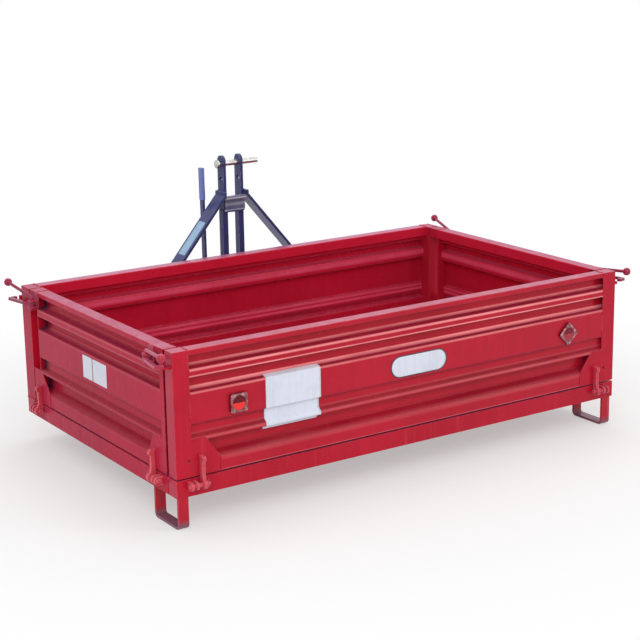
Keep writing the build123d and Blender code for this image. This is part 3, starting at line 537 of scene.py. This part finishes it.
front_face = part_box("bed_rail_front")[1].y
floor_top, frame_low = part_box("bed_floor")[1].z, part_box("bed_rail_rear")[0].z
panel_low, panel_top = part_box("tailgate_sheet")[0].z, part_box("tailgate_stiles")[1].z
rail_inner, post_inner = 0.7498, 0.760     # inner faces of the side rails and of the front posts
lug_low, lug_high = 0.1165, 0.1375
keeper_edges = (0.462, 0.468)     # the upper and lower face of a keeper's tab
flat_bands = [(0.153, 0.188), (0.303, 0.319), (0.372, 0.388), (0.434, 0.453), (0.496, 0.506)]
frame_beads = []
for y in (0.050, 0.930):     # the corners of the bed's frame, then the tops of the legs
    frame_beads.append(upright(half_width, y, frame_low + 0.002, floor_top - 0.002, 0.002))
    frame_beads.append(sideways(0.752, half_width - 0.001, y, floor_top, 0.0018))
for y0, y1 in ((0.005, 0.013), (0.137, 0.145)):
    frame_beads += round_bar_end(0.763, 0.795, y0, y1, frame_low, 0.0032)
for x in (0.742, 0.750, 0.758, 0.766):     # the tailgate's hinge lugs, then the sides'
    frame_beads.append(upright(x, 0.0, lug_low, lug_high, 0.0028))
for y in (0.079, 0.087, 0.095, 0.103, 0.890, 0.898, 0.906, 0.914):
    frame_beads.append(upright(half_width, y, lug_low, lug_high, 0.0028))
for y in np.arange(0.09, 0.90, 0.135):     # stitches along the floor's edges
    frame_beads.append(forward(rail_inner, y, y + 0.045, floor_top, 0.0024))
for x in np.arange(0.04, 0.70, 0.165):
    for y in (0.0502, 0.9298):
        frame_beads.append(sideways(x, x + 0.045, y, floor_top))
# the front posts' seams and feet, the rear posts' feet and the keepers' tabs
frame_beads += [upright(post_inner, 0.980, low, high, 0.0024) for low, high in flat_bands]
frame_beads.append(forward(post_inner, 0.940, 0.978, panel_top, 0.0020))
frame_beads += round_bar_end(post_inner, half_width, 0.920, 0.980, floor_top, 0.0030)
frame_beads += round_bar_end(post_inner, 0.780, 0.047, 0.067, floor_top, 0.0026)
for z in keeper_edges:
    frame_beads.append(forward(half_width, 0.949, 0.971, z))
for y0, y1 in ((0.270, 0.330), (0.585, 0.645)):     # the cross members under the floor
    frame_beads += [upright(rail_inner, y, 0.097, 0.140) for y in (y0, y1)]
    frame_beads.append(forward(0.750, y0, y1, frame_low, 0.0026))
for x in (0.3715, 0.3835):     # the pivot lugs
    frame_beads.append(forward(x, 0.271, 0.329, frame_low, 0.0034))
frame_beads = both_sides(frame_beads)
for x in (-0.120, -0.112, -0.064, -0.056):     # the catch bar's cheeks
    frame_beads.append(bead((x, front_face, 0.103), (x, front_face, 0.143), 0.0028))
piece("bed_weld_beads", frame_beads, red_enamel, "bed")

# ---- Weld beads on the tailgate and the drop sides ----
# Stiles, gussets, straps, keepers and latch brackets are stitched to the pressed sheets, with a
# short bead on each flat band and longer ones at the straps.
strap_low, strap_high, gusset_high, gusset_top = 0.152, 0.205, 0.191, 0.2556
gate_beads = [upright(x, 0.0, strap_low, strap_high, 0.0028) for x in (0.717, 0.727)]
gate_beads.append(upright(0.660, 0.0, strap_low, gusset_high, 0.0022))
gate_beads.append(sideways(0.707, 0.749, 0.0, gusset_top, 0.0020))
gate_beads += [upright(0.750, 0.0, low, high, 0.0021) for low, high in flat_bands[1:]]
gate_beads.append(forward(0.750, 0.003, 0.040, panel_top, 0.0018))
gate_beads += [forward(half_width, 0.009, 0.031, z) for z in keeper_edges]
piece("tailgate_weld_beads", both_sides(gate_beads), red_enamel, "tailgate")

side_beads = []
for middle in (0.123, 0.870):
    side_beads += [upright(half_width, middle + aside, strap_low, strap_high) for aside in (-0.005, 0.005)]
side_beads += [upright(half_width, y, strap_low, gusset_high, 0.0022) for y in (0.157, 0.808)]
side_beads.append(forward(half_width, 0.075, 0.121, gusset_top, 0.0020))
for middle in (0.115, 0.865):     # the latch brackets
    side_beads += [upright(half_width, middle + aside, 0.4945, 0.5040, 0.0022) for aside in (-0.014, 0.014)]
    side_beads.append(forward(half_width, middle - 0.013, middle + 0.013, 0.5052, 0.0020))
side_beads.append(upright(half_width, 0.868, 0.478, 0.506, 0.0020))
side_beads.append(sideways(post_inner, 0.799, 0.868, panel_top, 0.0018))
piece("side_right_weld_beads", side_beads, red_enamel, "side_right")
piece("side_left_weld_beads", [mirrored(shape) for shape in side_beads], red_enamel, "side_left")

# ---- Weld beads on the hitch frame ----
# Crossbar, uprights, feet, mast, braces and rails are heavy bar and tube, welded all round where
# they meet. The beads are wider than on the sheets, under the same slate paint.
heavy = 0.0036
link_in, link_out, rail_face = 0.3265, 0.3415, 0.3165     # the link upright's faces, the rail's
seam = 0.3262     # where crossbar and brace meet the upright
hitch_beads = [upright(x, 0.992, 0.046, 0.094, heavy) for x in (link_in, link_out)]
hitch_beads += [upright(rail_face, y, 0.047, 0.093, 0.0032) for y in (0.590, 0.640)]
hitch_beads += [forward(rail_face, 0.591, 0.639, z, 0.0024) for z in (0.0447, 0.0947)]
hitch_beads += [upright(seam, y, 0.041, 0.089, heavy) for y in (1.005, 1.055)]
hitch_beads += [forward(seam, 1.006, 1.054, z, heavy) for z in (0.040, 0.090)]
hitch_beads += round_bar_end(link_in, link_out, 0.993, 1.061, 0.008, heavy)
hitch_beads += round_bar_end(0.021, 0.041, 1.0175, 1.0425, 0.090, 0.0032)
for x in (0.0262, 0.0395):     # the mast's cross plate
    hitch_beads.append(forward(x, 1.0185, 1.0415, 0.6498, 0.0034))
hitch_beads.append(upright(0.038, 1.0095, 0.652, 0.690, 0.0028))
hitch_beads.append(forward(0.0385, 1.010, 1.050, 0.7162, 0.0032))
hitch_beads.append(upright(0.0385, 1.0505, 0.701, 0.715, 0.0028))
hitch_beads.append(upright(seam, 0.9925, 0.322, 0.364, 0.0032))     # the brace's foot
hitch_beads.append(forward(seam, 0.993, 1.051, 0.3200, 0.0032))
hitch_beads = both_sides(hitch_beads)
hitch_beads.append(sideways(-0.035, 0.035, 1.002, 0.6480, 0.0030))
lever_side, lever_low, lever_high = -0.041, 0.180, 0.220     # the lever's bracket on the left post
hitch_beads.append(upright(lever_side, 1.0175, lever_low + 0.001, lever_high - 0.001, 0.0030))
hitch_beads += [forward(lever_side, 1.018, 1.042, z, 0.0030) for z in (lever_low, lever_high)]
piece("hitch_weld_beads", hitch_beads, slate_enamel, "chassis")

# ---- Washers and split pins of the hinges ----
# Each bottom hinge pin is welded in its two lugs, and a washer and a split pin keep the strap on
# its free end. Plain wire and pressed washers, painted over with the box and rubbed on the edges.
X, Y, Z = 0, 1, 2


def turned(profile, centre, axis, around=28, closed=False):
    """A profile of (radius, distance) turned about the axis X, Y or Z through centre."""
    profile = np.asarray(profile, float)
    angle = np.linspace(0, 2 * np.pi, around, endpoint=False)
    points = np.zeros((len(profile), around, 3))
    first, second = [side for side in range(3) if side != axis]
    points[..., first] = profile[:, :1] * np.cos(angle)
    points[..., second] = profile[:, :1] * np.sin(angle)
    points[..., axis] = profile[:, 1:]
    return surface(points + np.asarray(centre), round_u=closed, round_v=True)


def washer(centre, axis, inner, outer, thickness):
    """A flat ring with its outer edge rounded over by a fifth of its thickness."""
    t, e = thickness / 2, thickness / 5
    loop = [(inner, -t), (outer - e, -t), (outer, -t + e), (outer, t - e), (outer - e, t), (inner, t)]
    return turned(loop, centre, axis, closed=True)


def distances(path):
    """The distance run along a path at each of its points."""
    return np.concatenate([[0], np.cumsum(np.linalg.norm(np.diff(path, axis=0), axis=1))])


def smooth_path(corners, passes, count=90, spacing=None):
    """Corners joined by straight runs, sampled evenly and then averaged with their neighbours."""
    corners = np.asarray(corners, float)
    s = distances(corners)
    even = np.arange(0, s[-1], spacing) if spacing else np.linspace(0, s[-1], count)
    path = np.stack([np.interp(even, s, column) for column in corners.T], axis=1)
    for _ in range(passes):
        path[1:-1] = (path[:-2] + 2 * path[1:-1] + path[2:]) / 4
    return path


def wire(path, radius, around=8):
    """Round wire along a path, its two ends closed by half domes."""
    path = np.asarray(path, float)
    s = distances(path)
    ends = np.clip(np.minimum(s, s[-1] - s) / radius, 0, 1)
    return surface(swept(path, radius * np.sqrt(1 - (1 - ends) ** 2), around), round_v=True)


def split_pin(centre, along, across, reach, gauge=0.0011):
    """A split pin through a pin of radius reach: two legs, an eye at one end, the tips bent apart.

    along and across are unit vectors: the legs run along the first and part along the second."""
    centre, along, across = np.asarray(centre, float), np.asarray(along, float), np.asarray(across, float)
    turn = np.linspace(0.35, 2 * np.pi - 0.35, 16)
    eye = [(-reach - 0.0042 - 0.0030 * -np.cos(a), 0.0030 * np.sin(a)) for a in turn]
    upper = [(reach + 0.0050, 0.0052), (reach + 0.0026, 0.0030), (reach + 0.0008, gauge), (-reach, gauge)]
    lower = [(-reach, -gauge), (reach + 0.0008, -gauge), (reach + 0.0026, -0.0034), (reach + 0.0046, -0.0062)]
    flat = np.array(upper + eye + lower)
    path = centre + flat[:, :1] * along + flat[:, 1:] * across
    return wire(smooth_path(path, passes=2), gauge)


# the straps, lugs and pin keepers are a lighter red with pale rubbed edges; the lighter red and the pale
# edges are partly painted highlight
handled_highlit_red = enamel("handled_red_enamel", colour=(0.650, 0.080, 0.102), shade=(0.480, 0.026, 0.046),
                     dust_and_sheen_colour=(0.66, 0.32, 0.38), worn=(0.95, 0.44, 0.50), gloss=0.22, dust_and_sheen=0.3, edge=1.0)
finish_nodes(handled_highlit_red, "bed_hinge_lugs", "tailgate_hinge_straps", "side_left_hinge_straps",
             "side_right_hinge_straps")
hinge_z, hinge_out = 0.127, 0.014
pin_radius, washer_size = 0.006, (0.0061, 0.0108, 0.0018)     # bore, outer radius and thickness
x_way, y_way, down_way = (1, 0, 0), (0, 1, 0), (0, 0, -1)
keepers = [washer((0.7155, rear_face - hinge_out, hinge_z), X, *washer_size),
           split_pin((0.7095, rear_face - hinge_out, hinge_z), down_way, y_way, pin_radius)]
for ring, pin in ((0.1295, 0.1355), (0.8635, 0.8575)):
    keepers.append(washer((half_width + hinge_out, along_y(ring), hinge_z), Y, *washer_size))
    keepers.append(split_pin((half_width + hinge_out, along_y(pin), hinge_z), down_way, x_way, pin_radius))
piece("hinge_pin_keepers", both_sides(keepers), handled_highlit_red, "bed")

# ---- Corner latches ----
# A forged lever with a ball grip: its hook plate turns under the hand bar in a welded bracket.
# A washer and a split pin hold it from below. Palms and keepers rub the paint thin.
latch_red = enamel("latch_enamel", colour=(0.480, 0.026, 0.062), shade=(0.320, 0.008, 0.026),
                   dust_and_sheen_colour=(0.62, 0.26, 0.32), worn=(0.80, 0.34, 0.40), gloss=0.20, dust_and_sheen=0.3, edge=0.9)
pivot_x = half_width + 0.016
pivot_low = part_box("latch_rear_right")[0].z
for corner, y in (("rear", 0.115), ("front", 0.865)):
    ring = washer((pivot_x, along_y(y), pivot_low + 0.0058), Z, *washer_size)
    pin = split_pin((pivot_x, along_y(y), pivot_low + 0.0022), (0, -1, 0), x_way, pin_radius, 0.0010)
    for side, kept in (("right", [ring, pin]), ("left", [mirrored(ring), mirrored(pin)])):
        piece(f"latch_{corner}_{side}_keeper", kept, latch_red, f"latch_{corner}_{side}")
finish_nodes(latch_red, "latch_rear_left", "side_left_latch_brackets", "side_right_latch_brackets")
# three levers are a darker, glossier red than the fourth, which is worn pale
latch_gloss = enamel("latch_gloss_enamel", colour=(0.350, 0.010, 0.058), shade=(0.230, 0.005, 0.030),
                     dust_and_sheen_colour=(0.60, 0.24, 0.34), worn=(0.70, 0.24, 0.36), gloss=0.08, dust_and_sheen=0.10, edge=0.5,
                     shine=0.30)
finish_nodes(latch_gloss, "latch_front_left", "latch_front_right", "latch_rear_right")

# ---- Linch pins ----
# A drop-forged pin with a spring ring goes through each lower link pin. The ring snaps over the
# end of the link pin and keeps it there. Zinc plated, like the link pins.
hole_x, link_y, link_z = 0.4175, 1.030, 0.348
hole = (hole_x, along_y(link_y), link_z)
shank = turned([(0, 0.0175), (0.0030, 0.0180), (0.0048, 0.0160), (0.0050, 0.0140), (0.0050, -0.0155),
                (0.0042, -0.0190), (0.0024, -0.0205), (0, -0.0208)], hole, Y, 20)
knob = turned([(0, 0.0285), (0.0045, 0.0282), (0.0070, 0.0262), (0.0078, 0.0235), (0.0078, 0.0195),
               (0.0068, 0.0172), (0.0040, 0.0162), (0, 0.0160)], hole, Y, 20)
swing = np.linspace(math.radians(84), math.radians(-70), 40)
ring_radius, ring_gauge = 0.0215, 0.0021
loop = np.stack([hole_x + ring_radius * np.cos(swing), along_y(link_y) + ring_radius * np.sin(swing) + 0.001,
                 np.full(len(swing), link_z + 0.0005)], axis=1)
linch_shapes = both_sides([shank, knob, wire(loop, ring_gauge, 10)])
piece("linch_pins", linch_shapes, zinc, "chassis")

# ---- Release lever's pivot and grip ----
# The flat lever hangs on a pin that is welded to the mast, behind a washer and a split pin. Its
# grip is a blue vinyl sleeve, dipped on: a fine skin with rings left by the dipping.
lever_pin = split_pin((-0.1035, along_y(1.065), 0.200), down_way, y_way, 0.008, 0.0014)
piece("lever_split_pin", [lever_pin], zinc, "chassis")
vinyl, tree, place, shader = new_shader("dipped_vinyl")
cloud = between(tree, noise(tree, place, 30.0, 4.0, 0.6), 0.35, 0.65)
darkening = between(tree, noise(tree, place, 60.0, 5.0, 0.7, (1.0, 1.0, 0.4)), 0.50, 0.72, 0.0, 0.6)
base = tinted(tree, cloud, (0.128, 0.172, 0.490), (0.160, 0.205, 0.540))
rings = tree.nodes.new("ShaderNodeTexWave")
rings.bands_direction = "Z"
rings.inputs["Scale"].default_value = 75.0
rings.inputs["Distortion"].default_value = 0.6
tree.links.new(place, rings.inputs["Vector"])
surfaced(tree, shader, tinted(tree, darkening, base, (0.070, 0.080, 0.210)),
         between(tree, noise(tree, place, 90.0), 0.3, 0.7, 0.38, 0.56),
         [(rings.outputs["Fac"], 0.0003), (noise(tree, place, 700.0, 2.0), 0.00006)])
finish_nodes(vinyl, "lever_grip")

# ---- Reflectors ----
# A stamped and chromed steel frame riveted to the tailgate holds each lens; its pink and dark red
# tints are a painted reflection of the red paint around it. The lens is clear plastic moulded in
# prisms: dark above and orange-red below on the left, dark red on the right, a painted reflection of
# the prisms seen at an angle, with painted glints.
chrome, tree, place, shader = new_shader("dulled_chrome")
shader.inputs["Metallic"].default_value = 1.0
# the chrome's pink and dark red tints are a painted reflection of the red paint
red_reflection = between(tree, noise(tree, place, 70.0, 5.0, 0.65), 0.30, 0.52)
speck = between(tree, noise(tree, place, 200.0, 3.0, 0.6), 0.54, 0.64)
base = tinted(tree, red_reflection, (0.74, 0.44, 0.46), (0.30, 0.11, 0.12))
surfaced(tree, shader, tinted(tree, speck, base, (0.12, 0.045, 0.040)),
         between(tree, noise(tree, place, 90.0, 4.0), 0.3, 0.7, 0.10, 0.32),
         [(noise(tree, place, 55.0, 3.0), 0.0024), (speck, -0.00008)])
finish_nodes(chrome, "reflector_bezels")


def lens_plastic(name, above, below, middle):
    """Clear moulded plastic over its backing: one colour above the middle's height, one below, as a painted
    reflection, with painted glints.
    """
    material, tree, place, shader = new_shader(name)
    upper = between(tree, axes_of(tree, place)["Z"], middle - 0.0006, middle + 0.0006)
    painted_glint = between(tree, noise(tree, place, 260.0, 3.0, 0.6), 0.35, 0.7)
    lower_tint, upper_tint = [tinted(tree, painted_glint, colour, tuple(min(1.0, 1.6 * part) for part in colour))
                              for colour in (below, above)]
    scratches = noise(tree, place, 240.0, 2.0, 0.6, (1.0, 1.0, 0.1))
    surfaced(tree, shader, tinted(tree, upper, lower_tint, upper_tint),
             between(tree, painted_glint, 0.0, 1.0, 0.12, 0.30), [(scratches, 0.00005)])
    tree.links.new(between(tree, upper, 0.0, 1.0, 0.35, 0.04), shader.inputs["Coat Weight"])
    shader.inputs["Coat Roughness"].default_value = 0.05
    shader.inputs["Specular IOR Level"].default_value = 0.12
    return material


def moulded_lens(x, z, turn, radius=0.0205, crown=0.0012, prism=0.0024, relief=0.0005):
    """A crowned disc of small pyramids with a plain rim, facing -y.

    Its height is crown (1 - r^2 / R^2) plus relief times the least of three triangle waves, 60
    degrees apart, each rising from 0 to 1 and back over one prism width."""
    rim = 0.9     # the share of the radius that the prisms fill
    share = np.concatenate([np.linspace(0, rim, 46), [0.905, 0.96, 1.0, 1.0, 0.9, 0.0]])
    angle = np.linspace(0, 2 * np.pi, 112, endpoint=False)
    u = radius * share[:, None] * np.cos(angle + turn)
    w = radius * share[:, None] * np.sin(angle + turn)
    waves = [np.abs(((u * math.cos(a) + w * math.sin(a)) / prism) % 1.0 - 0.5) * 2
             for a in (turn, turn + np.pi / 3, turn + 2 * np.pi / 3)]
    height = crown * (1 - share[:, None] ** 2) + relief * np.min(waves, axis=0) * (share[:, None] < rim)
    # the rim's outer edge, its side and the flat back
    height[-4] = crown * 0.05
    height[-3] = -0.0016
    height[-2:] = -0.0020
    points = np.stack([x + u, np.broadcast_to(along_y(-0.0085) - height, u.shape), z + w], axis=-1)
    return surface(points, round_v=True)


lens_x, rivet_circle, rivet_level = 0.601, 0.0305, -0.0104
lens_z = (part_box("reflector_lenses")[0].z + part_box("reflector_lenses")[1].z) / 2
rivet_head = [(0, 0.0), (0.0009, 0.00005), (0.0019, 0.0006), (0.0022, 0.0014), (0.0022, 0.0018), (0, 0.0018)]
for side, x, turn, above, below in (
        ("left", -lens_x, 0.0, (0.095, 0.0060, 0.0105), (0.660, 0.0200, 0.0200)),
        ("right", lens_x, math.pi / 4, (0.150, 0.0100, 0.0220), (0.300, 0.0160, 0.0340))):
    plastic = lens_plastic(f"lens_plastic_{side}", above, below, lens_z)
    disc = moulded_lens(x, lens_z, turn)
    lens_piece = piece(f"lens_{side}", [disc], plastic, "tailgate", smooth=False)
    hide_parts("reflector_lenses")
    rivets = []
    for a in (turn + np.pi / 4 + i * np.pi / 2 for i in range(4)):
        at = (x + rivet_circle * math.cos(a), along_y(rivet_level), lens_z + rivet_circle * math.sin(a))
        rivets.append(turned(rivet_head, at, Y, 14))
    piece(f"lens_rivets_{side}", rivets, chrome, "tailgate")

# ---- Blank sign, plate and labels ----
# Printed vinyl pressed onto the paint, left blank: a tall sign that follows the pressed grooves,
# a rounded plate with a dark edge, a pair of labels on the left side, and a strip on the brace.
def section_between(corners, start, end):
    """The part of a folded section from one height to another, at half-millimetre steps.

    Corners are (depth, height) from the top down. Averaging neighbours rounds the folds."""
    path = smooth_path(corners, passes=7, spacing=0.0005)
    return path[(path[:, 1] <= start) & (path[:, 1] >= end)]


def sticker(section, x0, x1, corner, lift=0.0003, thickness=0.0003, wave=0.0):
    """A thin sheet over a section, from x0 to x1, with its four corners rounded.

    Each point of the section is moved out along its normal by lift, and the back by lift less
    thickness. At a distance d < corner from an end the edge comes in by c - sqrt(c^2 - (c - d)^2)."""
    along = np.gradient(section, axis=0)
    along /= np.linalg.norm(along, axis=1, keepdims=True)
    normal = np.stack([along[:, 1], -along[:, 0]], axis=1)
    s = distances(section)
    near = np.clip(np.minimum(s, s[-1] - s), 0, corner)
    inset = corner - np.sqrt(np.maximum(corner ** 2 - (corner - near) ** 2, 0))
    across = np.linspace(0, 1, 24)
    sides = []
    for out in (lift, lift - thickness):
        flat = section + normal * out
        x = (x0 + inset)[:, None] + (x1 - x0 - 2 * inset)[:, None] * across
        ripple = wave * np.sin(x * 71.0 + s[:, None] * 93.0) if out == lift else 0.0
        depth = flat[:, :1] + normal[:, :1] * ripple + 0 * x
        sides.append(np.stack([x, depth, np.broadcast_to(flat[:, 1:], x.shape)], axis=-1))
    loop = np.concatenate([sides[0], sides[1][::-1]])
    ends = [np.stack([sides[0][:, i], sides[1][:, i]], axis=1) for i in (0, -1)]
    return joined([surface(loop, round_u=True)] + [surface(end) for end in ends])


def on_gate(shape):
    """A sticker made in (x, depth, height), set on the tailgate's outer face."""
    points, quads = shape
    return points + (0, rear_face, 0), quads


def on_left_side(shape):
    """The same, set on the left side: its x runs forward along the panel."""
    points, quads = shape
    return np.stack([points[:, 1] - half_width, rear_face + points[:, 0], points[:, 2]], axis=1), quads


def vinyl_film(name, colour, soiled, grain=14.0):
    """Printed film: colour with grime by noise and in streaks, and faint bubbles beneath."""
    material, tree, place, shader = new_shader(name)
    darkening = between(tree, noise(tree, place, grain, 6.0, 0.65), 0.45, 0.75, 0.0, 0.6)
    streak = between(tree, noise(tree, place, 26.0, 4.0, 0.6, (3.0, 3.0, 0.3)), 0.50, 0.78, 0.0, 0.5)
    bubbles = between(tree, noise(tree, place, 95.0, 2.0, 0.4), 0.62, 0.74)
    surfaced(tree, shader, tinted(tree, streak, tinted(tree, darkening, colour, soiled), soiled),
             between(tree, noise(tree, place, 60.0), 0.3, 0.7, 0.30, 0.46),
             [(noise(tree, place, 18.0, 2.0), 0.0006), (bubbles, 0.0002)])
    return material


def flat_section(top, low):
    """A straight upright section at the panel's outer face."""
    z = np.linspace(top, low, 48)
    return np.stack([0 * z, z], axis=1)


white_film = vinyl_film("white_film", (0.66, 0.69, 0.78), (0.50, 0.52, 0.62))
dark_film = vinyl_film("dark_film", (0.055, 0.030, 0.045), (0.11, 0.06, 0.07))
pale_blue_film = vinyl_film("pale_blue_film", (0.30, 0.47, 0.66), (0.16, 0.24, 0.42), 40.0)
# the panel's grooves, each (low, high, rise, fall, depth), and its folded outline from them
grooves = [(0.454, 0.493, 0.009, 0.004, 0.024), (0.389, 0.431, 0.008, 0.004, 0.024),
           (0.257, 0.300, 0.011, 0.005, 0.012), (0.191, 0.248, 0.017, 0.006, 0.024)]
corners = [(0, panel_top)]
for low, high, rise, fall, depth in grooves:
    corners += [(0, high), (depth, high - fall), (depth, low + rise), (0, low)]
corners.append((0, panel_low))
sign = sticker(section_between(corners, 0.395, 0.233), -0.510, -0.327, 0.004, wave=0.00008)
piece("blank_sign", [on_gate(sign)], white_film, "tailgate")

edge = sticker(flat_section(0.3725, 0.3055), -0.0815, 0.1235, 0.0335, 0.0007, 0.0006)
plate = sticker(flat_section(0.3690, 0.3090), -0.0780, 0.1200, 0.0300, 0.0011, 0.0006)
piece("rounded_plate_edge", [on_gate(edge)], dark_film, "tailgate")
piece("rounded_plate", [on_gate(plate)], white_film, "tailgate")
labels = [sticker(flat_section(0.3800, 0.3110), y0, y1, 0.003)
          for y0, y1 in ((0.402, 0.4905), (0.4950, 0.556))]
piece("side_labels", [on_left_side(shape) for shape in labels], white_film, "side_left")

# the strip is made upright, then laid down the left brace's upper face
upper, lower = np.array([-0.038, 0.700]), np.array([-0.3165, 0.370])
down = (lower - upper) / np.linalg.norm(lower - upper)
out = np.array([down[1], -down[0]])
strip_start, brace_lift = 0.112, 0.010
points, quads = sticker(flat_section(0.0, -0.133), 1.001, 1.043, 0.003)
spot = upper + (strip_start - points[:, 2])[:, None] * down + (brace_lift - points[:, 1])[:, None] * out
strip_points = np.stack([spot[:, 0], rear_face + points[:, 0], spot[:, 1]], axis=1)
piece("brace_strip", [(strip_points, quads)], pale_blue_film, "chassis")
